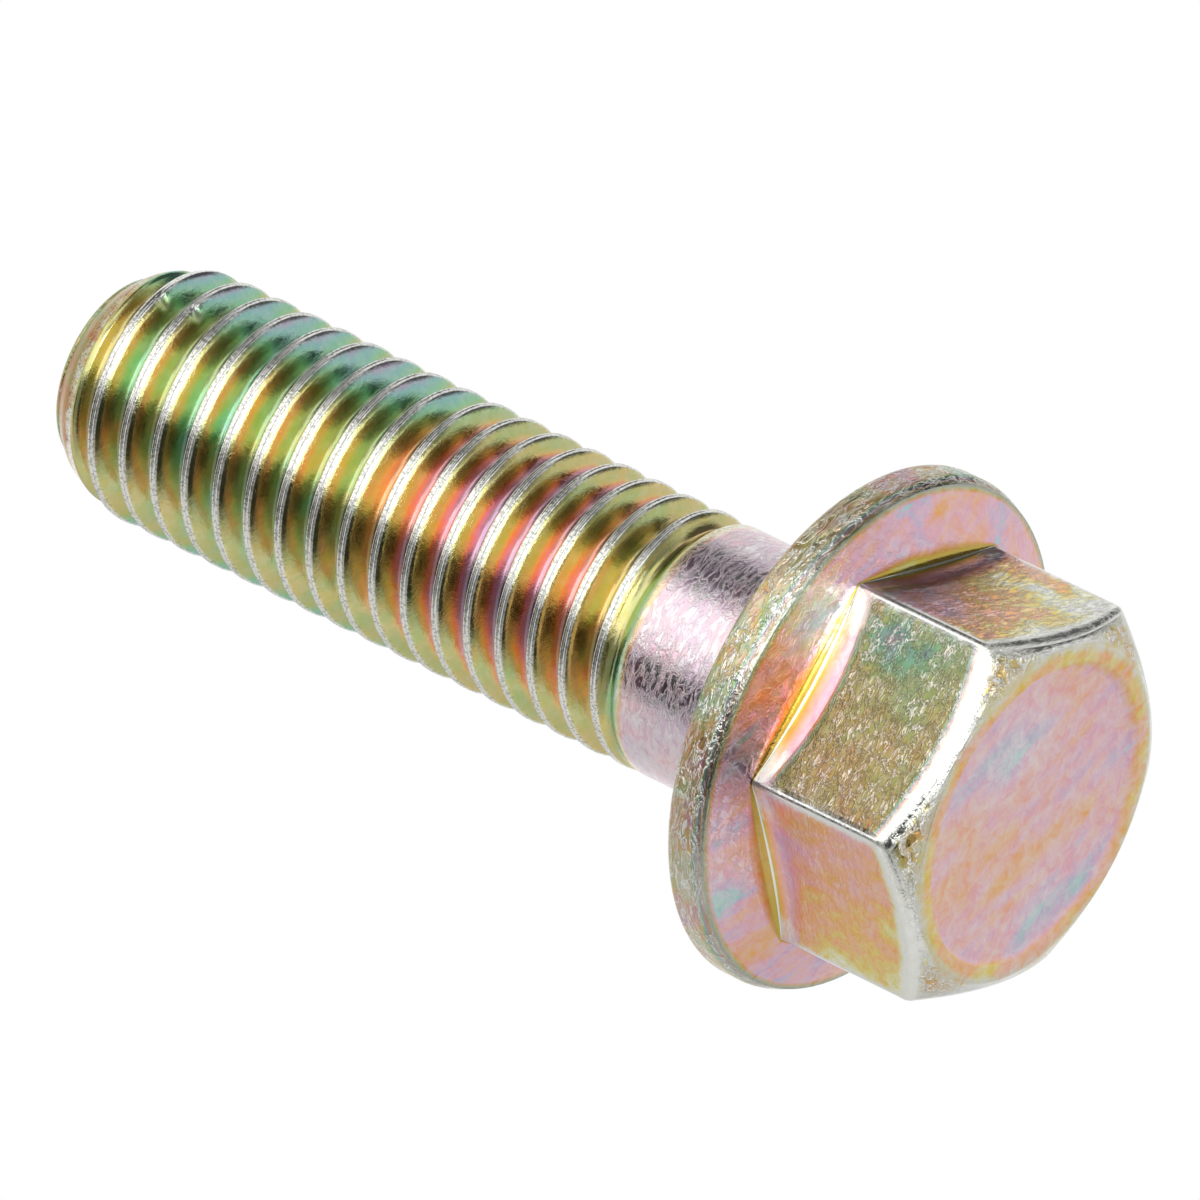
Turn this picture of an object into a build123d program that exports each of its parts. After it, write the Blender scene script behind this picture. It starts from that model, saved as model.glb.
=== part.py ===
"""Hexagon flange bolt, M10 x 1.5 x 35, one cold-forged and thread-rolled piece.

Millimetres. It is made within tolerance: 0.5 short, and with a thread 0.15 under 10. The
origin is the centre of the flange's bearing face. +Z runs along the shank to the point, so
the head lies below z = 0 and the bolt stands on the end face of its head.
"""
from build123d import *
from math import atan, ceil, cos, degrees, radians, tan
import os

# ---- Driving dimensions ------------------------------------------------------------------
# Shank
under_head_length = 34.5
shank_diameter = 9.78
underhead_fillet_radius = 0.5

# Rolled thread, right-handed
thread_length = 28.1             # from the start of the run-out to the end of the point
thread_pitch = 1.5
thread_crest_diameter = 9.85
thread_depth = 0.90
thread_crest_land = 0.19
thread_flank_angle = 30.0        # each flank, from the plane across the axis
point_taper_length = 1.6         # the crests are not fully formed along the point's taper
point_bevel_length = 0.95
point_bevel_diameter = 8.6       # where the taper meets the bevel
point_end_diameter = 7.0
point_edge_radius = 0.8          # between taper and bevel
point_end_radius = 0.3           # around the flat end

# Flange
flange_diameter = 20.0
flange_rim_height = 1.5
flange_cone_angle = 17.5         # between the bearing face and the cone
bearing_edge_radius = 0.3
rim_shoulder_radius = 0.15

# Hexagon
head_height = 8.9                # bearing face to end face
across_flats = 14.0
hexagon_edge_radius = 0.35
crease_fillet_radius = 0.8       # where each flat runs into the flange
end_face_diameter = 13.0
end_chamfer_angle = 30.0         # between the end face and the chamfer
chamfer_edge_radius = 0.3        # along the curved edges between flats and chamfer
dish_diameter = 11.8             # shallow dish left by the forging punch
dish_depth = 0.08
dish_wall_width = 0.25

# ---- Derived sizes -----------------------------------------------------------------------
shank_radius = shank_diameter / 2
crest_radius = thread_crest_diameter / 2
root_radius = crest_radius - thread_depth
flank_run = thread_depth * tan(radians(thread_flank_angle))
root_land = thread_pitch - thread_crest_land - 2 * flank_run
thread_start = under_head_length - thread_length
plain_length = thread_start - thread_crest_land
thread_turns = ceil(thread_length / thread_pitch) + 1    # the last run past the point
stud_length = (thread_turns + 2) * thread_pitch


def turn(outline):
    """Revolve a closed outline of (radius, height, fillet radius) corners about Z."""
    corners = [(radius, height) for radius, height, _ in outline]
    fillets = [fillet_radius for _, _, fillet_radius in outline]
    section = make_face(FilletPolyline(*corners, radius=fillets, close=True))
    return revolve(Plane.XZ * section, Axis.Z)


def flange_and_plain_shank():
    """Flange cone, rim, bearing face, under-head fillet and the unthreaded shank."""
    cone_apex = -flange_rim_height - flange_diameter / 2 * tan(radians(flange_cone_angle))
    return turn([
        (0, cone_apex, 0),
        (flange_diameter / 2, -flange_rim_height, rim_shoulder_radius),
        (flange_diameter / 2, 0, bearing_edge_radius),
        (shank_radius, 0, underhead_fillet_radius),
        (shank_radius, plain_length, 0),
        (0, plain_length, 0),
    ])


def hexagon():
    """The hexagon, chamfered by a cone and dished at its end face."""
    section = RegularPolygon(across_flats / 2, 6, major_radius=False)
    section = fillet(section.vertices(), hexagon_edge_radius)
    prism = extrude(Pos(0, 0, -head_height) * section, head_height - flange_rim_height)

    end_radius = end_face_diameter / 2
    dish_radius = dish_diameter / 2
    outer_radius = across_flats
    chamfer_rise = (outer_radius - end_radius) * tan(radians(end_chamfer_angle))
    envelope = turn([
        (0, 0, 0),
        (0, dish_depth - head_height, 0),
        (dish_radius - dish_wall_width, dish_depth - head_height, 0),
        (dish_radius, -head_height, 0),
        (end_radius, -head_height, 0),
        (outer_radius, chamfer_rise - head_height, 0),
        (outer_radius, 0, 0),
    ])
    return prism & envelope


def across_corner_edges(solid, above, below):
    """The edges that cross flats and hexagon corners, between two heights."""
    return [
        edge for edge in solid.edges()
        if edge.geom_type in (GeomType.HYPERBOLA, GeomType.BSPLINE)
        and above < edge.center().Z < below
    ]


def forging():
    """Flange, plain shank and hexagon in one, with the edges that forging leaves rounded."""
    middle = -(head_height + flange_rim_height) / 2
    blank = flange_and_plain_shank() + hexagon()
    blank = fillet(across_corner_edges(blank, -head_height, middle), chamfer_edge_radius)
    return fillet(across_corner_edges(blank, middle, 0), crease_fillet_radius)


def crest_radius_at(turns):
    """Crest radius so many turns up the thread, level with the plain rod at both ends."""
    if turns <= 1:
        return shank_radius
    if turns >= thread_turns:
        return root_radius
    return crest_radius


def groove_radius_at(turns):
    """Groove radius so many turns up the thread: it runs out to the shank in one turn."""
    return shank_radius if turns == 0 else root_radius


def coil(turns, rise, radius_at):
    """One right-handed turn of a corner of the thread's profile, climbing one pitch."""
    height = thread_start + turns * thread_pitch + rise
    taper = degrees(atan((radius_at(turns + 1) - radius_at(turns)) / thread_pitch))
    slant_pitch = thread_pitch / cos(radians(taper))
    centre = (0, 0, height)
    return Edge.make_helix(slant_pitch, thread_pitch, radius_at(turns), centre, angle=taper)


def thread_turn(turns):
    """The four helical faces of one turn: flank, root, flank and crest."""
    coils = [
        coil(turns, 0, crest_radius_at),
        coil(turns, flank_run, groove_radius_at),
        coil(turns, flank_run + root_land, groove_radius_at),
        coil(turns + 1, -thread_crest_land, crest_radius_at),
        coil(turns + 1, 0, crest_radius_at),
    ]
    return [Face.make_surface_from_curves(*pair) for pair in zip(coils, coils[1:])]


def threaded_stud():
    """The threaded length as one solid, from a disc on the shank to a disc past the point."""
    faces = [face for turns in range(thread_turns) for face in thread_turn(turns)]
    first_coil = coil(0, 0, crest_radius_at)
    last_coil = coil(thread_turns, 0, crest_radius_at)
    shank_rim = Edge.make_circle(shank_radius, Plane((0, 0, plain_length)))
    stud_rim = Edge.make_circle(root_radius, Plane((0, 0, thread_start + stud_length)))
    faces += [
        Face(Wire([shank_rim])),
        Face.make_surface_from_curves(shank_rim, first_coil),
        Face.make_surface_from_curves(last_coil, stud_rim),
        Face(Wire([stud_rim])),
    ]
    return Solid(Shell(faces))


def point_cutter():
    """Everything outside the point's taper, bevel and flat end."""
    bevel_radius = point_bevel_diameter / 2
    bevel_start = under_head_length - point_bevel_length
    outer_radius = thread_crest_diameter
    reach = (outer_radius - bevel_radius) / (crest_radius - bevel_radius)
    cutter_end = thread_start + stud_length + thread_pitch
    return turn([
        (0, under_head_length, 0),
        (point_end_diameter / 2, under_head_length, point_end_radius),
        (bevel_radius, bevel_start, point_edge_radius),
        (outer_radius, bevel_start - reach * point_taper_length, 0),
        (outer_radius, cutter_end, 0),
        (0, cutter_end, 0),
    ])


os.makedirs("parts", exist_ok=True)
flange_bolt = forging() + (threaded_stud() - point_cutter())
export_step(flange_bolt, "parts/flange_bolt.step")
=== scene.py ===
"""Finish and setting of an M10 flange bolt: cold-forged, thread-rolled and yellow-passivated."""

import math

import bmesh
import bpy
import numpy as np
from mathutils import Matrix, Vector


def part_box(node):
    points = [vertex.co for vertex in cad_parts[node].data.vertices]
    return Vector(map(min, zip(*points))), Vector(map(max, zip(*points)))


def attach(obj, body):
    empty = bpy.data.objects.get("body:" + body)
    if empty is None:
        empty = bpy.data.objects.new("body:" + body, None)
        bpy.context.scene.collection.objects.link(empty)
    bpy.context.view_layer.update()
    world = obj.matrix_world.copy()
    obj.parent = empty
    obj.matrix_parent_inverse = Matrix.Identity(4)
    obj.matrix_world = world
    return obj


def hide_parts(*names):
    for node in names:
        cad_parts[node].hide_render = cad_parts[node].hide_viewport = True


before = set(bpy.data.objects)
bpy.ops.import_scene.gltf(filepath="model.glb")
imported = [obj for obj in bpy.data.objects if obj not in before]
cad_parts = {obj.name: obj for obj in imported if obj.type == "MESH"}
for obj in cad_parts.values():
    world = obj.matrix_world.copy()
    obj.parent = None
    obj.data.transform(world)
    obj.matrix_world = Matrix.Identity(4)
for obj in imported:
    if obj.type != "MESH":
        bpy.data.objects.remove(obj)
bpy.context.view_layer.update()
node_low, node_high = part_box("flange_bolt")

# ---- Sizes, in millimetres -----------------------------------------------------------------
MM = 0.001
END_FACE_Z = node_low.z / MM
POINT_Z = node_high.z / MM
FLANGE_RADIUS = node_high.x / MM

EDGE_STEPS = 5                    # from the end of a flat to the middle of a rounded corner
FLAT_STEPS = 14                   # from the middle of a flat to its end
COLUMNS = 12 * (FLAT_STEPS + EDGE_STEPS)
SHANK_RADIUS = 4.89
PLAIN_SHANK_TOP = 6.2
UNDERHEAD_FILLET = 0.5
BEARING_EDGE = 0.3
RIM_HEIGHT = 1.5
CONE_SLOPE = math.tan(math.radians(17.5))
HALF_ACROSS_FLATS = 7.0
HEX_EDGE_RADIUS = 0.30
HEX_CORNER_RUN = HALF_ACROSS_FLATS * math.tan(math.radians(30))   # middle of a flat to its end
END_FACE_RADIUS = 6.5
CHAMFER_SLOPE = math.tan(math.radians(30))
DISH_RADIUS = 5.9
DISH_DEPTH = 0.08
DISH_WALL = 0.25
DISH_OFFSET = 0.25                # the punch struck a little to +X

PITCH = 1.5
CREST_RADIUS = 4.925
ROOT_RADIUS = 4.03
ROWS_PER_TURN = 16
CREST_LAND = 0.15
CREST_ROUNDING = 0.12
ROOT_ROUNDING = 0.40
FLANK_SLOPE = 1.73                # fall of a flank for each step along the axis
SEAM_DEPTH = 0.045
SEAM_HALF_WIDTH = 0.10
TAPER_START = POINT_Z - 2.55
TAPER_SLOPE = 0.40
BEVEL_START = POINT_Z - 1.70      # where the bevel's line would meet the crests
BEVEL_SLOPE = 0.84
BEVEL_ROUNDING = 0.15             # between taper and bevel
POINT_ROUND_START = POINT_Z - 0.3
POINT_ROUND_RUN = 0.45            # how far in the rounded edge round the flat end reaches

MERGE_DISTANCE = 2e-6             # metres


# ---- Node trees ----------------------------------------------------------------------------
class Value:
    """An output socket. Python's operators on it add the Math nodes that do the sum."""

    def __init__(self, graph, socket):
        self.graph = graph
        self.socket = socket

    def __add__(self, other):
        return self.graph.math("ADD", self, other)

    def __radd__(self, other):
        return self.graph.math("ADD", other, self)

    def __sub__(self, other):
        return self.graph.math("SUBTRACT", self, other)

    def __rsub__(self, other):
        return self.graph.math("SUBTRACT", other, self)

    def __mul__(self, other):
        return self.graph.math("MULTIPLY", self, other)

    def __rmul__(self, other):
        return self.graph.math("MULTIPLY", other, self)

    def __truediv__(self, other):
        return self.graph.math("DIVIDE", self, other)

    def __rtruediv__(self, other):
        return self.graph.math("DIVIDE", other, self)

    def __pow__(self, other):
        return self.graph.math("POWER", self, other)


class Graph:
    """A node tree being built. Every node is added by node(); the rest are short names for it."""

    def __init__(self, tree):
        self.tree = tree
        tree.nodes.clear()

    def node(self, kind, settings=None, inputs=None, output=0):
        made = self.tree.nodes.new(kind)
        for name, value in (settings or {}).items():
            if name == "stops":
                self.set_stops(made.color_ramp, value)
            else:
                setattr(made, name, value)
        for name, value in (inputs or {}).items():
            if isinstance(value, Value):
                self.tree.links.new(value.socket, made.inputs[name])
            else:
                made.inputs[name].default_value = value
        return Value(self, made.outputs[output]) if made.outputs else None

    def set_stops(self, ramp, stops):
        while len(ramp.elements) < len(stops):
            ramp.elements.new(1.0)
        for element, (place, colour) in zip(ramp.elements, stops):
            element.position = place
            element.color = (*colour, 1.0)

    def math(self, operation, *values):
        inputs = dict(enumerate(values))
        return self.node("ShaderNodeMath", {"operation": operation}, inputs)

    def smooth(self, value, start, end, low=0.0, high=1.0):
        """low before start, high after end, and an S-curve between."""
        inputs = {0: value, 1: start, 2: end, 3: low, 4: high}
        return self.node("ShaderNodeMapRange", {"interpolation_type": "SMOOTHSTEP"}, inputs)

    def blend(self, factor, first, second):
        """Mix two colours."""
        inputs = {0: factor, 6: first, 7: second}
        return self.node("ShaderNodeMix", {"data_type": "RGBA"}, inputs, output=2)

    def tint(self, factor, colour, by):
        """Multiply a colour by another."""
        settings = {"data_type": "RGBA", "blend_type": "MULTIPLY"}
        return self.node("ShaderNodeMix", settings, {0: factor, 6: colour, 7: by}, output=2)

    def vector(self, operation, *values, output=0):
        inputs = dict(enumerate(values))
        return self.node("ShaderNodeVectorMath", {"operation": operation}, inputs, output)

    def stretch(self, place, factors):
        return self.vector("MULTIPLY", place, factors)

    def parts(self, vector):
        """The X, Y and Z of a vector."""
        split = self.node("ShaderNodeSeparateXYZ", None, {0: vector})
        return [Value(self, socket) for socket in split.socket.node.outputs]

    def noise(self, place, size, detail=2.0, roughness=0.5, warp=0.0):
        """Noise of about 0 to 1 whose blotches are about size millimetres across."""
        inputs = {"Vector": place, "Scale": 1.0 / size, "Detail": detail,
                  "Roughness": roughness, "Distortion": warp}
        return self.node("ShaderNodeTexNoise", None, inputs)

    def attribute(self, name):
        return self.node("ShaderNodeAttribute", {"attribute_name": name}, output=2)


# ---- Head, flange and plain shank ----------------------------------------------------------
def hexagon_columns():
    """Distance and direction from the axis of each column, on the outline of the hexagon."""
    straight = HEX_CORNER_RUN - HEX_EDGE_RADIUS * math.tan(math.radians(30))
    # columns crowd towards the ends of a flat
    runs = straight * (1 - np.linspace(1, 0, FLAT_STEPS + 1) ** 1.6)
    arcs = np.radians(np.linspace(0, 30, EDGE_STEPS + 1))[1:]
    arc_centre = HALF_ACROSS_FLATS - HEX_EDGE_RADIUS
    rounded = arc_centre + HEX_EDGE_RADIUS * np.cos(arcs)
    out = np.concatenate([np.full(FLAT_STEPS + 1, HALF_ACROSS_FLATS), rounded])
    along = np.concatenate([runs, straight + HEX_EDGE_RADIUS * np.sin(arcs)])
    out = np.concatenate([out[::-1], out[1:]])[:-1]
    along = np.concatenate([-along[::-1], along[1:]])[:-1]
    radii = np.hypot(out, along)
    turns = np.arctan2(along, out)
    angles = [turns + math.radians(30 + 60 * side) for side in range(6)]
    return np.tile(radii, 6), np.concatenate(angles)


def rounded_chain(corners):
    """Rows of (radius, height) for every column, along corners that are rounded in turn.

    A corner is (its region, radius, height, rounding, steps of its arc, steps of the run after
    it, and that run's region).
    """
    points = [np.stack(np.broadcast_arrays(c[1], c[2], np.zeros(COLUMNS))[:2], 1) for c in corners]
    rows, names = [points[0]], [corners[0][0]]
    for k in range(1, len(corners)):
        name, _, _, rounding, arc_steps, _, _ = corners[k]
        run_steps, run_name = corners[k - 1][5:]
        here = points[k]
        start = here
        arc = []
        if k < len(corners) - 1:
            back = unit(points[k - 1] - here)
            on = unit(points[k + 1] - here)
            half = np.arccos(np.clip((back * on).sum(1), -1, 1)) / 2
            size = np.broadcast_to(rounding, COLUMNS)
            start = here + back * (size / np.tan(half))[:, None]
            end = here + on * (size / np.tan(half))[:, None]
            centre = here + unit(back + on) * (size / np.sin(half))[:, None]
            sweep = (math.pi - 2 * half)[:, None]
            for t in np.linspace(0, 1, arc_steps + 1)[1:]:
                weights = np.sin((1 - t) * sweep), np.sin(t * sweep)
                spoke = ((start - centre) * weights[0] + (end - centre) * weights[1]) / np.sin(sweep)
                arc.append(centre + spoke)
        last = rows[-1]
        for t in np.linspace(0, 1, run_steps + 1)[1:]:
            rows.append(last + (start - last) * t)
            names.append(run_name if t < 1 else name)
        rows += arc
        names += [name] * len(arc)
    return rows, names


def unit(vectors):
    return vectors / np.linalg.norm(vectors, axis=1, keepdims=True)


def head_chain(hex_radii):
    """Corners of the head from the middle of its end face out, round the flange, up the shank.

    Where a flat meets the flange, the forging die leaves a smooth band on the flat, a fine
    ridge, and a dip in the cone. All three close up towards the hexagon's corners.
    """
    to_corner = np.clip((hex_radii**2 - HALF_ACROSS_FLATS**2) / HEX_CORNER_RUN**2, 0, 1)
    bow = 1 - 0.9 * to_corner
    band = np.clip(8 * (1 - to_corner), 0.25, 1)

    def cone(radius):
        return -RIM_HEIGHT - (FLANGE_RADIUS - radius) * CONE_SLOPE

    foot = cone(hex_radii)
    chamfer_z = END_FACE_Z + (hex_radii - END_FACE_RADIUS) * CHAMFER_SLOPE
    dish_z = END_FACE_Z + DISH_DEPTH
    cone_start = hex_radii + 0.85 * bow
    rim_edge = FLANGE_RADIUS - 0.22
    return [
        ("dish", 0, dish_z, 0, 0, 4, "dish"),
        ("dish", DISH_RADIUS - DISH_WALL, dish_z, 0.3, 3, 1, ""),
        ("ring", DISH_RADIUS, END_FACE_Z, 0.2, 3, 2, "ring"),
        ("end edge", END_FACE_RADIUS, END_FACE_Z, 0.14, 4, 3, "chamfer"),
        ("flat edge", hex_radii, chamfer_z, 0.46, 8, 15, "flat"),
        ("band", hex_radii, foot - 0.10 * bow - 0.42 * band, 2.0 * band, 6, 2, "band"),
        ("band", hex_radii + 0.12 * bow, foot - 0.12 * bow - 0.02 * band, 0.12 * bow, 3, 1, ""),
        ("ridge", hex_radii + 0.20 * bow, foot - 0.07 * bow, 0.05 * bow, 4, 1, ""),
        ("dip", hex_radii + 0.215 * bow, foot - 0.02 * bow, 0, 0, 2, "dip"),
        ("dip", hex_radii + 0.33 * bow, foot + 0.14 * bow, 0.3 * bow, 6, 1, ""),
        ("cone", cone_start, cone(cone_start), 1.2 * bow, 3, 7, "cone"),
        ("edge", rim_edge, cone(rim_edge), 0.05, 3, 1, ""),
        ("rim", FLANGE_RADIUS, -1.05, 0.6, 4, 3, "rim"),
        ("rim", FLANGE_RADIUS, 0, BEARING_EDGE, 5, 3, "bearing"),
        ("bearing", SHANK_RADIUS, 0, UNDERHEAD_FILLET, 5, 11, "shank"),
        ("shank", SHANK_RADIUS, PLAIN_SHANK_TOP, 0, 0, 0, ""),
    ]


# How each region is finished. film is the place on the passivation's colours and vary how
# uneven it is, peel the depth of the orange-peel skin, worn how bare of colour
# (wear, and on one patch of the cone a painted highlight), dark how dull: partly the
# metal's own dullness, partly painted shade, as in the dip, on the cone's rim edge and on one flat.
FINISH_NAMES = ("film", "vary", "peel", "worn", "dark")
HEAD_FINISH_AND_SHADE = {
    "dish": (0.45, 0.60, 0.16, 0.22, 0.0),
    "ring": (0.27, 0.60, 0.16, 0.20, 0.0),
    "end edge": (0.20, 0.50, 0.10, 0.60, 0.20),
    "chamfer": (0.03, 0.25, 0.70, 0.90, 0.0),
    "flat edge": (0.06, 0.20, 0.25, 0.90, 0.0),
    "band": (0.30, 0.10, 0.05, 0.0, 0.0),
    "ridge": (0.03, 0.0, 0.0, 1.0, 0.0),
    # painted shade: the dip is dulled by half, shade in the crease
    "dip": (0.22, 0.05, 0.12, 0.0, 0.50),
    "cone": (0.47, 0.80, 0.22, 0.12, 0.0),
    # painted shade: the edge where the cone meets the rim is painted as a dim line
    "edge": (0.03, 0.0, 0.40, 0.60, 0.90),
    "rim": (0.97, 0.90, 1.30, 0.22, 0.50),
    "bearing": (1.06, 0.40, 0.30, 0.20, 0.0),
    "shank": (1.22, 0.35, 0.28, 0.45, 0.0),
}
THREAD_FINISH = (0.50, 0.50, 0.08, 0.08, 0.0)
POINT_FINISH = (1.00, 0.80, 0.30, 0.05, 0.5)
# The same of the six flats, from +X round to +Y and on, and how much their film thickens from
# the middle to the end of the flat, and from its middle to the end face.
FLAT_FINISH_AND_SHADE = [
    # painted shade: the first flat, at 30° from +X, is dulled all over (0.90), a dim reflection painted
    # into its colour
    (0.92, 0.34, 1.00, 0.08, 0.90), (0.30, 0.80, 0.60, 0.12, 0.0), (0.36, 0.60, 0.60, 0.12, 0.1),
    (0.88, 0.50, 0.80, 0.10, 0.40), (0.40, 0.60, 0.40, 0.12, 0.0), (0.33, 0.60, 0.25, 0.12, 0.0)]
FLAT_FILM_SLOPES = [
    (-0.05, 0.0), (-0.12, -0.14), (0.1, 0.1), (0.05, -0.1), (0.1, 0.1), (0.10, -0.08)]


def mesh_from_rows(name, rings, attributes):
    """A mesh on rings of points, closed round the axis, whose first ring is a single point."""
    count = len(rings)
    points = np.concatenate([rings[0][:1]] + rings[1:])
    values = {key: np.concatenate([ring[0][:1]] + ring[1:]) for key, ring in attributes.items()}
    faces = []
    for j in range(COLUMNS):
        k = (j + 1) % COLUMNS
        faces.append((0, 1 + k, 1 + j))
        for i in range(count - 2):
            low, high = 1 + i * COLUMNS, 1 + (i + 1) * COLUMNS
            faces.append((low + j, low + k, high + k, high + j))
    mesh = bpy.data.meshes.new(name)
    mesh.from_pydata((points * MM).tolist(), [], faces)
    for key, value in values.items():
        mesh.attributes.new(key, "FLOAT", "POINT").data.foreach_set("value", value.astype("f"))
    return mesh


def row_finish_and_shade(name, heights, along_flat, through_band):
    """The finish of one row of the head, at every column."""
    if name == "flat":
        side = np.arange(COLUMNS) // (COLUMNS // 6)
        finish = np.array(FLAT_FINISH_AND_SHADE)[side]
        slopes = np.array(FLAT_FILM_SLOPES)[side]
        flat_middle = (END_FACE_Z - RIM_HEIGHT) / 2
        towards_end = (flat_middle - heights) / (flat_middle - END_FACE_Z)
        finish[:, 0] += slopes[:, 0] * along_flat + slopes[:, 1] * towards_end
        # the hexagon's corners are rubbed bare and smooth
        at_corner = np.clip((np.abs(along_flat) - 0.90) / 0.06, 0, 1)
        finish[:, 2] *= 1 - 0.8 * at_corner
        finish[:, 3] = np.maximum(finish[:, 3], at_corner)
        finish[:, 4] *= 1 - at_corner
        return finish
    finish = np.tile(HEAD_FINISH_AND_SHADE[name], (COLUMNS, 1))
    if name == "band":
        # pink where it leaves the flat, then orange and gold towards the ridge; pale and
        # bare near the corners
        t = through_band
        finish[:, 0] = np.interp(t, (0, 0.3, 0.6, 1), (0.54, 0.46, 0.30, 0.19))
        finish[:, 3] = np.interp(t, (0, 0.25, 0.5), (0.2, 0.15, 0))
        finish[:, 3] += np.clip((np.abs(along_flat) - 0.55) / 0.3, 0, 0.8)
        # painted shade: the band is dulled towards the ridge, into the crease
        finish[:, 4] = np.interp(t, (0.6, 1), (0, 0.5))
    if name == "chamfer":
        # bare and pale in the middle of a side; rougher, dimmer and with thicker film towards the corners
        t = np.clip((np.abs(along_flat) - 0.30) / 0.45, 0, 1)
        finish[:, 0] += 0.22 * t
        finish[:, 2] += 0.6 * t
        finish[:, 3] -= 0.5 * t
        finish[:, 4] += 0.35 * t
    return finish


def head_mesh():
    """Hexagon, flange and plain shank, open at the top of the shank."""
    hex_radii, hex_angles = hexagon_columns()
    even_angles = np.arange(COLUMNS) * 2 * math.pi / COLUMNS
    rows, names = rounded_chain(head_chain(hex_radii))
    side = np.arange(COLUMNS) // (COLUMNS // 6)
    along_flat = hex_radii * np.sin(hex_angles - np.radians(30 + 60 * side)) / HEX_CORNER_RUN
    band_rows = [i for i, name in enumerate(names) if name == "band"]
    # up the shank the columns turn from the hexagon's spacing to the thread's even one
    shank_start = [i for i, name in enumerate(names) if name in ("bearing", "shank")][3]
    rings, finishes = [], []
    for i, (row, name) in enumerate(zip(rows, names)):
        even = np.clip((i - shank_start) / (len(rows) - 1 - shank_start), 0, 1)
        angles = hex_angles + even * (even_angles - hex_angles)
        across, along = row[:, 0] * np.cos(angles), row[:, 0] * np.sin(angles)
        if name == "dish":
            across = across + DISH_OFFSET
        rings.append(np.stack([across, along, row[:, 1]], 1))
        through_band = (i - band_rows[0]) / (band_rows[-1] - band_rows[0])
        finishes.append(row_finish_and_shade(name, row[:, 1], along_flat, through_band))
    layers = {key: [f[:, k] for f in finishes] for k, key in enumerate(FINISH_NAMES)}
    return mesh_from_rows("forged_head", rings, layers)


# ---- Rolled thread -------------------------------------------------------------------------
def thread_radius(graph, given, from_crest, climb, height):
    """Straight flanks between a crest with a rolling seam and a rounded root, cut by the point."""
    depth = given["Crest Radius"] - given["Root Radius"]
    flank = depth - (from_crest - given["Crest Land"]) * given["Flank Slope"]
    flank = graph.math("SMOOTH_MIN", flank, depth, CREST_ROUNDING * MM)
    flank = graph.math("SMOOTH_MAX", flank, 0.0, ROOT_ROUNDING * MM)
    seam = graph.smooth(from_crest, 0.0, SEAM_HALF_WIDTH * MM, 1.0, 0.0) * given["Seam Depth"]
    cut = given["Root Radius"] + flank - seam
    run_out = graph.smooth(climb / given["Pitch"], 0.15, 1.3)
    radius = given["Shank Radius"] + (cut - given["Shank Radius"]) * run_out
    taper = given["Crest Radius"] - (height - given["Taper Start"]) * given["Taper Slope"]
    bevel = given["Crest Radius"] - (height - given["Bevel Start"]) * given["Bevel Slope"]
    envelope = graph.math("SMOOTH_MIN", taper, bevel, BEVEL_ROUNDING * MM)
    return graph.math("SMOOTH_MIN", radius, envelope, CREST_ROUNDING * MM)


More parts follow.
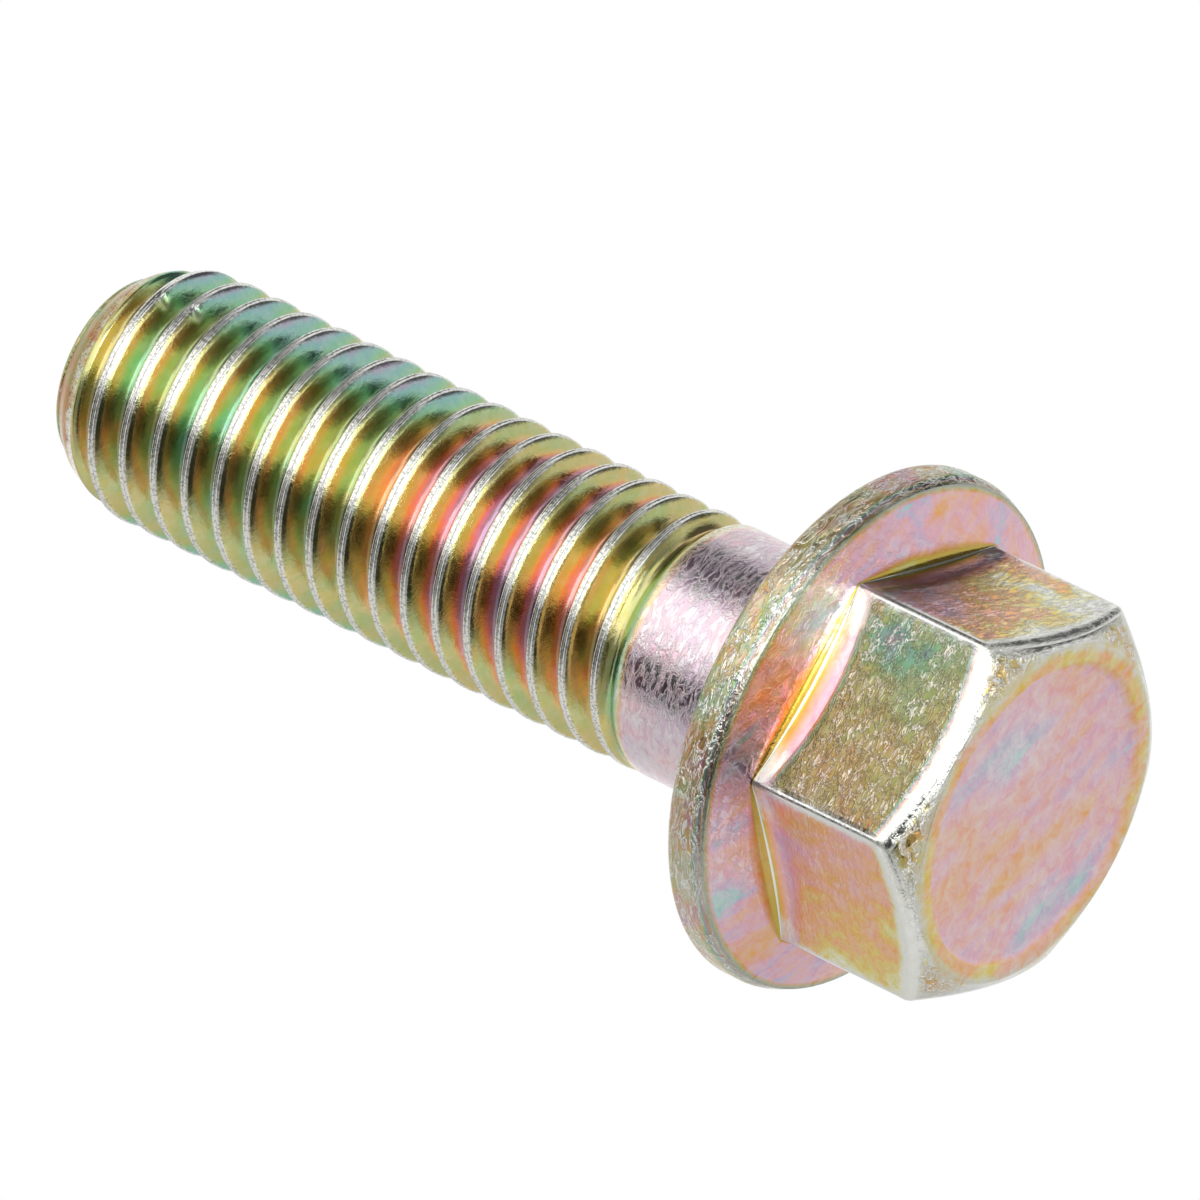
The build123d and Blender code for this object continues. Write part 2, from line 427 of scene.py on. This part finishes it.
def thread_tree():
    """Geometry nodes: a sheared grid wrapped on the axis, whose rows climb as the helix does.

    Rows that would start below the shank's end or pass the point's end are drawn level with
    it, so both ends close into a plain ring.
    """
    tree = bpy.data.node_groups.new("rolled_thread", "GeometryNodeTree")
    sizes = ["Pitch", "Start", "End", "Crest Radius", "Root Radius", "Shank Radius", "Crest Land",
             "Flank Slope", "Seam Depth", "Taper Start", "Taper Slope", "Bevel Start", "Bevel Slope"]
    tree.interface.new_socket("Geometry", in_out="OUTPUT", socket_type="NodeSocketGeometry")
    for name in ("Columns", "Rows per Turn", "Turns"):
        tree.interface.new_socket(name, in_out="INPUT", socket_type="NodeSocketInt")
    for name in sizes:
        tree.interface.new_socket(name, in_out="INPUT", socket_type="NodeSocketFloat")
    tree.interface.new_socket("Finish", in_out="INPUT", socket_type="NodeSocketMaterial")
    graph = Graph(tree)
    entry = graph.node("NodeGroupInput").socket.node
    given = {socket.name: Value(graph, socket) for socket in entry.outputs if socket.name}
    pitch, start, end = given["Pitch"], given["Start"], given["End"]

    rows = given["Turns"] * given["Rows per Turn"] + 1
    grid = graph.node("GeometryNodeMeshGrid", None, {
        "Size X": 1.0, "Size Y": 1.0, "Vertices X": rows, "Vertices Y": given["Columns"] + 1})
    grid_x, grid_y, _ = graph.parts(graph.node("GeometryNodeInputPosition"))
    up = (grid_x + 0.5) * given["Turns"]
    around = grid_y + 0.5
    phase = graph.math("FRACT", up)
    # rows crowd together on the crest, where the profile bends most
    from_row = graph.math("PINGPONG", phase, 0.5) * 2
    from_crest = from_row ** 1.45 * (pitch / 2)
    towards = graph.math("SIGN", 0.5 - phase)
    shift = towards * (from_crest - from_row * (pitch / 2))
    lead = (up + around - 1) * pitch + shift
    climb = graph.math("MAXIMUM", lead, 0.0)
    height = graph.math("MINIMUM", climb + start, end)

    radius = thread_radius(graph, given, from_crest, climb, height)

    # the finish changes from the shank's to the thread's as the groove starts; it is stored
    # while the grid is flat, as place is read afresh once the grid is wrapped
    threaded = graph.smooth(climb / pitch, 0.0, 0.6)
    layers = {"threaded": threaded}
    for name, on_shank, on_thread in zip(FINISH_NAMES, HEAD_FINISH_AND_SHADE["shank"], THREAD_FINISH):
        layers[name] = on_shank + (on_thread - on_shank) * threaded
    shape = grid
    for name, value in layers.items():
        shape = graph.node("GeometryNodeStoreNamedAttribute", None, {
            "Geometry": shape, "Name": name, "Value": value})

    angle = around * (2 * math.pi)
    position = graph.node("ShaderNodeCombineXYZ", None, {
        0: radius * graph.math("COSINE", angle), 1: radius * graph.math("SINE", angle), 2: height})
    shape = graph.node("GeometryNodeSetPosition", None, {"Geometry": shape, "Position": position})
    shape = graph.node("GeometryNodeMergeByDistance", None, {"Geometry": shape, "Distance": MERGE_DISTANCE})
    shape = graph.node("GeometryNodeRealizeInstances", None, {"Geometry": shape})
    shape = graph.node("GeometryNodeSetMaterial", None, {
        "Geometry": shape, "Material": given["Finish"]})
    graph.node("NodeGroupOutput", None, {0: shape})
    return tree


def thread_mesh(finish):
    """The threaded length as a plain mesh, open at both ends."""
    turns = math.ceil((POINT_ROUND_START - PLAIN_SHANK_TOP) / PITCH) + 1
    values = {
        "Columns": COLUMNS, "Rows per Turn": ROWS_PER_TURN, "Turns": turns,
        "Pitch": PITCH * MM, "Start": PLAIN_SHANK_TOP * MM, "End": POINT_ROUND_START * MM,
        "Crest Radius": CREST_RADIUS * MM, "Root Radius": ROOT_RADIUS * MM,
        "Shank Radius": SHANK_RADIUS * MM, "Crest Land": CREST_LAND * MM,
        "Flank Slope": FLANK_SLOPE, "Seam Depth": SEAM_DEPTH * MM,
        "Taper Start": TAPER_START * MM, "Taper Slope": TAPER_SLOPE,
        "Bevel Start": BEVEL_START * MM, "Bevel Slope": BEVEL_SLOPE,
        "Finish": finish,
    }
    tree = thread_tree()
    carrier = bpy.data.objects.new("rolled_thread", bpy.data.meshes.new("rolled_thread"))
    bpy.context.scene.collection.objects.link(carrier)
    modifier = carrier.modifiers.new("rolled_thread", "NODES")
    modifier.node_group = tree
    for item in tree.interface.items_tree:
        if item.in_out == "INPUT":
            modifier[item.identifier] = values[item.name]
    depsgraph = bpy.context.evaluated_depsgraph_get()
    mesh = bpy.data.meshes.new_from_object(carrier.evaluated_get(depsgraph))
    bpy.data.objects.remove(carrier)
    return mesh


# Knocks on two crests near the point: (middle, reach, depth).
NICKS = [((2.1, 4.3, 31.7), 0.34, 0.13), ((2.0, 4.4, 30.3), 0.32, 0.13)]


def nick_crests(mesh):
    """Press the knocks into the thread's crests."""
    for middle, reach, depth in NICKS:
        for vertex in mesh.vertices:
            x, y, z = (value / MM for value in vertex.co)
            away = math.dist((x, y, z), middle) / reach
            if away < 1:
                shrink = 1 - depth * (1 - away ** 2) / math.hypot(x, y)
                vertex.co = (x * shrink * MM, y * shrink * MM, z * MM)


# ---- Point and assembly --------------------------------------------------------------------
def point_mesh(rim_radius):
    """The rounded edge and flat end of the point, from its rim to its middle."""
    angles = np.arange(COLUMNS) * 2 * math.pi / COLUMNS
    flat_radius = rim_radius - POINT_ROUND_RUN
    rise = POINT_Z - POINT_ROUND_START
    outline = [(0, POINT_Z), (1.2, POINT_Z), (2.4, POINT_Z), (flat_radius, POINT_Z)]
    for turn in np.radians((15, 30, 45, 60, 75)):
        radius = flat_radius + POINT_ROUND_RUN * math.sin(turn) ** 0.8
        outline.append((radius, POINT_Z - rise * (1 - math.cos(turn))))
    outline.append((rim_radius, POINT_ROUND_START))
    rings = []
    for radius, height in outline:
        across, along = radius * np.cos(angles), radius * np.sin(angles)
        rings.append(np.stack([across, along, np.full(COLUMNS, height)], 1))
    finish = {key: [np.full(COLUMNS, value) for _ in rings]
              for key, value in zip(FINISH_NAMES, POINT_FINISH)}
    return mesh_from_rows("point", rings, finish)


def join(meshes, name):
    """One object of all the meshes. Their rims meet but aren't merged yet."""
    pieces = []
    for mesh in meshes:
        piece = bpy.data.objects.new(name, mesh)
        bpy.context.scene.collection.objects.link(piece)
        pieces.append(piece)
    with bpy.context.temp_override(active_object=pieces[0], object=pieces[0],
                                   selected_objects=pieces, selected_editable_objects=pieces):
        bpy.ops.object.join()
    return pieces[0]


def close_up(piece):
    """Merge the rims that the meshes share, and turn all faces outwards."""
    build = bmesh.new()
    build.from_mesh(piece.data)
    rims = [vertex for vertex in build.verts if vertex.is_boundary]
    bmesh.ops.remove_doubles(build, verts=rims, dist=MERGE_DISTANCE)
    bmesh.ops.recalc_face_normals(build, faces=build.faces)
    for face in build.faces:
        face.smooth = True
    build.to_mesh(piece.data)
    build.free()


# ---- Finish --------------------------------------------------------------------------------
# The colours that the passivation film runs through as it thickens, twice over.
FILM_COLOURS = [
    (0.00, (0.86, 0.86, 0.82)),
    (0.09, (0.82, 0.82, 0.54)),
    (0.19, (0.78, 0.63, 0.12)),
    (0.29, (0.86, 0.43, 0.12)),
    (0.39, (0.86, 0.45, 0.31)),
    (0.49, (0.82, 0.45, 0.54)),
    (0.58, (0.64, 0.47, 0.64)),
    (0.67, (0.38, 0.64, 0.62)),
    (0.77, (0.38, 0.70, 0.44)),
    (0.88, (0.60, 0.65, 0.28)),
    (0.97, (0.82, 0.64, 0.26)),
    (1.05, (0.90, 0.48, 0.24)),
    (1.15, (0.86, 0.46, 0.52)),
    (1.25, (0.66, 0.46, 0.60)),
]
THICKEST_FILM = 1.25
BARE_ZINC = (0.84, 0.84, 0.80, 1)
# the tint of dull metal and of painted shade
SHADE_AND_DULL_TINT = (0.38, 0.40, 0.36, 1)

# Places where the bath left the film thicker or thinner, and patches of painted light: the first is
# painted shade on the cone beside the flat at 30°, the second a painted highlight of bare metal on
# the cone: (middle, reach, change of film, of dark and of worn).
STAINS_AND_PAINTED_LIGHT = [
    ((8.9, 0.9, -1.8), 2.4, 0.06, 0.45, 0.0),
    ((5.6, 6.2, -2.2), 2.4, -0.04, 0.0, 0.50),
    ((1.6, 8.1, -2.1), 2.2, -0.10, 0.0, 0.0),
    ((3.6, 9.2, -1.7), 2.0, 0.10, 0.15, 0.0),
    ((8.5, -4.0, -1.8), 4.0, 0.06, -0.1, 0.15),
    ((4.7, 5.8, -4.3), 1.8, -0.30, 0.1, 0.0),
    ((2.0, 2.6, -8.8), 3.2, 0.12, 0.0, 0.2),
    ((-1.4, -3.6, -8.8), 2.4, 0.08, 0.0, 0.1),
]

# Film in the thread's grooves at heights up the bolt: (height, film).
GROOVE_FILM = [(6.0, 0.60), (7.6, 0.98), (9.0, 0.96), (11.0, 1.18), (14.5, 1.24), (17.5, 1.17),
               (20.5, 0.88), (24.0, 0.81), (29.0, 0.82), (32.0, 0.90), (34.5, 1.00)]
# Film over one pitch, from the middle of a crest towards the point to the next: (place, film).
PROFILE_FILM = [(0.0, 0.98), (0.14, 1.03), (0.22, 1.02), (0.32, 0.90), (0.60, 0.86), (0.80, 0.91),
                (1.0, 0.93)]
BEVEL_Z = 33.2                    # from here on the point has a finish of its own
DRAIN_TURN = math.radians(-36)    # the way the bath drained, about the axis
DEEP_CORNER = (8.1, 3.4, -2.0)    # where a flat and the cone mirror each other


def film_on_thread(graph, place, phase, cloud, blotch, bevel):
    """Film on the thread: thinnest on the crests and thickest in the grooves."""
    _, across, height = graph.parts(place)
    start, end = GROOVE_FILM[0][0], GROOVE_FILM[-1][0]
    stops = [((z - start) / (end - start), (film / THICKEST_FILM,) * 3) for z, film in GROOVE_FILM]
    along = (height - start) / (end - start)
    in_groove = graph.node("ShaderNodeValToRGB", {"stops": stops}, {0: along})
    in_groove = in_groove * THICKEST_FILM + cloud * 0.5
    stops = [(where, (film / THICKEST_FILM,) * 3) for where, film in PROFILE_FILM]
    profile = graph.node("ShaderNodeValToRGB", {"stops": stops}, {0: phase})
    profile = profile * THICKEST_FILM + cloud * 0.25
    groove = graph.smooth(phase, 0.20, 0.36) * graph.smooth(phase, 0.58, 0.78, 1.0, 0.0)
    film = profile + (in_groove - profile) * groove
    # painted sheen: the colour the film shows seen edge-on is painted as thinner film on the bolt's
    # two sides (±Y), on the half of the thread towards the point
    edge_on_sheen = graph.smooth(graph.math("ABSOLUTE", across), 3.8, 5.0) * graph.smooth(height, 17, 21)
    film = film - edge_on_sheen * 0.32
    return film + (1.0 + cloud * 0.5 + blotch * 0.4 - film) * bevel


def with_stains_and_painted_light(graph, place, uneven, film, dark, worn):
    """film, dark and worn as the bath and the painted light change them."""
    for middle, reach, thicker, duller_and_shaded, barer_and_highlit in STAINS_AND_PAINTED_LIGHT:
        distance = graph.vector("DISTANCE", place, middle, output=1) + uneven * reach
        patch_weight = graph.smooth(distance, 0.0, reach, 1.0, 0.0)
        film = film + patch_weight * thicker
        dark = dark + patch_weight * duller_and_shaded
        worn = worn + patch_weight * barer_and_highlit
    return film, graph.math("MAXIMUM", dark, 0.0), worn


def metal_skin(graph, place):
    """Three noises of the skin: its wrinkles, its orange peel and its slow waves."""
    x, y, _ = graph.parts(place)
    radius = graph.math("SQRT", x * x + y * y)
    on_rim = graph.smooth(radius, FLANGE_RADIUS - 0.30, FLANGE_RADIUS - 0.15)
    rolled = graph.stretch(place, (0.60, 0.60, 1.40))
    streaked = graph.stretch(place, (0.40, 0.40, 1.60))
    wrinkled = graph.noise(rolled, 0.34, 4.0, 0.65, 0.6)
    wrinkled = wrinkled + (graph.noise(streaked, 0.42, 3.0, 0.6, 1.0) - wrinkled) * on_rim
    peel = graph.noise(rolled, 0.26, 5.0, 0.65, 0.6)
    peel = peel + (graph.noise(streaked, 0.55, 5.0, 0.65, 1.0) * 1.8 - peel) * on_rim
    return wrinkled, peel, graph.noise(rolled, 1.2, 1.0, 0.5)


def zinc_finish():
    material = bpy.data.materials.new("yellow_passivated_zinc")
    material.use_nodes = True
    graph = Graph(material.node_tree)
    coordinates = graph.node("ShaderNodeTexCoord", output=3)
    place = graph.stretch(coordinates, (1000, 1000, 1000))
    x, y, height = graph.parts(place)
    turn = graph.math("ARCTAN2", y, x) / (2 * math.pi)
    film, vary = graph.attribute("film"), graph.attribute("vary")
    peel, worn = graph.attribute("peel"), graph.attribute("worn")
    dark, threaded = graph.attribute("dark"), graph.attribute("threaded")

    # the film lies in smears, all one way, as it drained
    drained = graph.node("ShaderNodeMapping", {"vector_type": "TEXTURE"}, {
        "Vector": place, "Rotation": (0, 0, DRAIN_TURN), "Scale": (2.6, 0.8, 1.0)})
    cloud = graph.noise(drained, 2.6, 3.0, 0.6, 0.5) - 0.5
    blotch = graph.noise(place, 0.7, 2.0, 0.6, 0.4) - 0.5
    strokes = graph.noise(graph.stretch(drained, (0.4, 2.2, 2.2)), 0.5, 2.0, 0.5) - 0.5

    up = (height - PLAIN_SHANK_TOP) / PITCH - turn + 10
    phase = graph.math("FRACT", up + blotch * 0.03)
    from_crest = graph.math("PINGPONG", phase, 0.5) * 2
    bevel = graph.smooth(height + blotch, BEVEL_Z - 0.2, BEVEL_Z + 0.3) * threaded
    thread_film = film_on_thread(graph, place, phase, cloud, blotch, bevel)
    film = film + (cloud * 1.3 + blotch * 0.35 + strokes * 0.25) * vary
    film, dark, worn = with_stains_and_painted_light(graph, place, cloud + blotch, film, dark, worn)
    film = film + (thread_film - film) * threaded
    off_crest = graph.smooth(from_crest, 0.20, 0.35)
    specks = graph.smooth(graph.noise(place, 0.11, 1.0), 0.50, 0.62)
    # painted shade: the thread's flanks and grooves are dulled a little; besides, specks on the crests and
    # the point's bevel are dulled
    dark = dark + (off_crest * 0.10 + (1 - off_crest) * specks * 0.6 + bevel * 0.55) * threaded
    bare_crest = graph.smooth(from_crest + blotch * 0.10, 0.20, 0.26, 1.0, 0.0) * threaded
    worn = worn + (0.95 - worn) * bare_crest * (1 - bevel * 0.9)

    # fine wrinkles in the skin: bright where they stand up and are rubbed bare
    wrinkled, skin, waves = metal_skin(graph, place)
    wrinkle = 1 - graph.math("ABSOLUTE", wrinkled - 0.5) * 14
    wrinkle = graph.math("MAXIMUM", wrinkle, 0.0)
    patchy = graph.smooth(graph.noise(place, 0.9, 2.0), 0.30, 0.60, 0.30, 1.0)
    rubbed = graph.smooth(wrinkle, 0.35, 0.85) * patchy * graph.smooth(peel, 0.15, 1.1)
    # where bare and coloured metal meet, the border is ragged
    worn = worn + worn * (1 - worn) * (wrinkled - 0.5) * 8
    worn = graph.math("MINIMUM", worn + rubbed * 0.85, 1.0)
    dark = dark * (1 - graph.math("MINIMUM", rubbed, 1.0))

    stops = [(thickness / THICKEST_FILM, colour) for thickness, colour in FILM_COLOURS]
    colour = graph.node("ShaderNodeValToRGB", {"stops": stops}, {0: film / THICKEST_FILM})
    # light that bounces twice in a groove or corner comes out in a deeper colour
    cornered = graph.vector("DISTANCE", place, DEEP_CORNER, output=1) + blotch
    deep = off_crest * threaded * 0.35 + graph.smooth(cornered, 0.6, 2.8, 0.8, 0.0)
    deep = deep + bevel * 0.5
    colour = graph.tint(deep, colour, colour)
    colour = graph.blend(worn, colour, BARE_ZINC)
    # dull metal and painted shade: the colour is tinted towards SHADE_AND_DULL_TINT
    colour = graph.tint(dark, colour, SHADE_AND_DULL_TINT)

    grain = graph.noise(place, 0.05, 2.0, 0.6)
    relief = (skin * 0.045 + wrinkle * 0.020 + waves * 0.14) * peel
    relief = relief + grain * 0.0014 + strokes * 0.003
    bump = graph.node("ShaderNodeBump", None, {"Strength": 1.0, "Distance": MM, "Height": relief})
    roughness = graph.smooth(graph.noise(place, 0.9, 3.0, 0.6), 0.3, 0.7, 0.10, 0.18)
    surface = graph.node("ShaderNodeBsdfPrincipled", None, {
        "Base Color": colour, "Metallic": 1.0, "Roughness": roughness, "Normal": bump})
    graph.node("ShaderNodeOutputMaterial", None, {0: surface})
    return material


# ---- Camera, light and floor ---------------------------------------------------------------
CAMERA_SPOT = (0.5864, 0.2736, -0.3882)
CAMERA_RIGHT = Vector((-0.61295, 0.19562, -0.76552))
CAMERA_DOWN = Vector((0.17249, -0.91236, -0.37127))
CAMERA_AHEAD = Vector((-0.77106, -0.35962, 0.52549))


def set_camera():
    camera = bpy.data.objects.new("camera", bpy.data.cameras.new("camera"))
    bpy.context.scene.collection.objects.link(camera)
    camera.data.sensor_width = 36
    camera.data.lens = 630
    axes = Matrix((CAMERA_RIGHT, -CAMERA_DOWN, -CAMERA_AHEAD)).transposed().to_4x4()
    camera.matrix_world = Matrix.Translation(CAMERA_SPOT) @ axes
    bpy.context.scene.camera = camera


def studio_direction(right, down, ahead):
    return (CAMERA_RIGHT * right + CAMERA_DOWN * down + CAMERA_AHEAD * ahead).normalized()


# What the metal mirrors. Softboxes: (middle, way its length runs, half length, half width and
# soft edge in degrees, strength). Black cards: (middle, full to, gone by, strength). Directions
# are given as right, down and ahead of the camera.
SOFTBOXES = [
    ((-0.52, -0.55, -0.65), (0.8, 0.1, -0.6), 34, 25, 4, 1.50),
    ((0.36, -0.02, -0.92), (0.85, 0.24, 0.45), 50, 17, 4, 1.70),
    ((0.15, -0.68, -0.71), (1.0, 0.0, 0.0), 22, 14, 6, 1.2),
    ((0.60, 0.02, -0.80), (0.0, 1.0, 0.0), 13, 13, 8, 5.0),
]
BLACK_CARDS = [
    ((0.42, 0.60, -0.68), 16, 30, 0.03),
    ((0.66, -0.68, 0.32), 18, 28, 0.10),
    ((-0.95, 0.15, -0.28), 11, 22, 0.05),
    ((-0.08, -0.98, 0.08), 13, 26, 0.10),
]
FILL_LIGHT = 0.75


def studio_glow(graph):
    """How bright the studio is in each direction, as the metal mirrors it."""
    heading = graph.node("ShaderNodeTexCoord")

    def towards(direction):
        return graph.vector("DOT_PRODUCT", heading, tuple(direction), output=1)

    def within(distance, limit, feather):
        inner = math.sin(math.radians(limit - feather))
        outer = math.sin(math.radians(limit + feather))
        return graph.smooth(graph.math("ABSOLUTE", distance), inner, outer, 1.0, 0.0)

    ahead, down = towards(CAMERA_AHEAD), towards(CAMERA_DOWN)
    glow = graph.smooth(ahead, -0.38, 0.0, 0.28, 0.80) + graph.smooth(ahead, 0.72, 0.95) * 0.2
    glow = glow + graph.smooth(down, 0.55, 0.95) * 0.35 * (1 - glow)
    glow = glow - graph.smooth(down, 0.2, 0.6) * graph.smooth(ahead, -0.1, 0.3) * 0.14
    glow = glow + graph.smooth(down, -0.8, -0.3, 1.0, 0.0) * graph.smooth(ahead, 0.3, 0.6) * 0.15
    for middle, full, gone, strength in BLACK_CARDS:
        facing = towards(studio_direction(*middle))
        inside = graph.smooth(facing, math.cos(math.radians(gone)), math.cos(math.radians(full)))
        glow = glow + (strength - glow) * inside
    for middle, length_way, half_length, half_width, feather, strength in SOFTBOXES:
        middle = studio_direction(*middle)
        width_way = middle.cross(studio_direction(*length_way)).normalized()
        length_way = width_way.cross(middle)
        inside = (within(towards(length_way), half_length, feather)
                  * within(towards(width_way), half_width, feather)
                  * graph.math("GREATER_THAN", towards(middle), 0.0))
        glow = glow + (strength - glow) * inside
    return glow


def set_world():
    """White to the camera, the studio to what the metal mirrors, and an even fill otherwise."""
    world = bpy.data.worlds.new("studio")
    bpy.context.scene.world = world
    world.use_nodes = True
    graph = Graph(world.node_tree)
    glow = studio_glow(graph)
    path = graph.node("ShaderNodeLightPath")
    outputs = path.socket.node.outputs
    seen = Value(graph, outputs["Is Camera Ray"])
    through = Value(graph, outputs["Is Transmission Ray"])
    mirrored = Value(graph, outputs["Is Glossy Ray"])
    plain = graph.math("MAXIMUM", seen, through)
    ambient = FILL_LIGHT + (glow - FILL_LIGHT) * mirrored
    strength = ambient + (1.0 - ambient) * plain
    light = graph.node("ShaderNodeBackground", None, {0: (1, 1, 1, 1), 1: strength})
    graph.node("ShaderNodeOutputWorld", None, {0: light})


def set_lamps():
    lamp = bpy.data.lights.new("key_softbox", "AREA")
    lamp.shape = "DISK"
    lamp.size = 0.25
    lamp.energy = 2.0
    key = bpy.data.objects.new("key_softbox", lamp)
    bpy.context.scene.collection.objects.link(key)
    key.location = (0.25, -0.2, 0.45)
    key.rotation_euler = (Vector((0, 0, 0.01)) - key.location).to_track_quat("-Z", "Y").to_euler()
    key.visible_glossy = False


def floor_finish():
    """Pale from above; seen from underneath it isn't there, so the head's end can be viewed."""
    material = bpy.data.materials.new("studio_floor")
    material.use_nodes = True
    graph = Graph(material.node_tree)
    under = graph.node("ShaderNodeNewGeometry", output=6)
    pale = graph.node("ShaderNodeBsdfDiffuse", None, {0: (0.88, 0.88, 0.88, 1)})
    clear = graph.node("ShaderNodeBsdfTransparent")
    surface = graph.node("ShaderNodeMixShader", None, {0: under, 1: pale, 2: clear})
    graph.node("ShaderNodeOutputMaterial", None, {0: surface})
    return material


def set_floor():
    half = 1.5
    z = node_low.z
    mesh = bpy.data.meshes.new("floor")
    mesh.from_pydata([(-half, -half, z), (half, -half, z), (half, half, z), (-half, half, z)],
                     [], [(0, 1, 2, 3)])
    floor = bpy.data.objects.new("floor", mesh)
    bpy.context.scene.collection.objects.link(floor)
    mesh.materials.append(floor_finish())
    floor.visible_glossy = False
    floor.visible_transmission = False
    floor.visible_diffuse = False
    floor.visible_shadow = False


# ---- Put together --------------------------------------------------------------------------
set_camera()
set_world()
set_lamps()
set_floor()
bpy.context.scene.view_settings.view_transform = "Standard"

finish = zinc_finish()
thread = thread_mesh(finish)
rim = max(math.hypot(v.co.x, v.co.y) for v in thread.vertices
          if abs(v.co.z - POINT_ROUND_START * MM) < 1e-7) / MM
nick_crests(thread)
bolt = join([head_mesh(), thread, point_mesh(rim)], "plated_bolt")
bolt.data.materials.clear()
bolt.data.materials.append(finish)
close_up(bolt)
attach(bolt, "root")
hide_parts("flange_bolt")
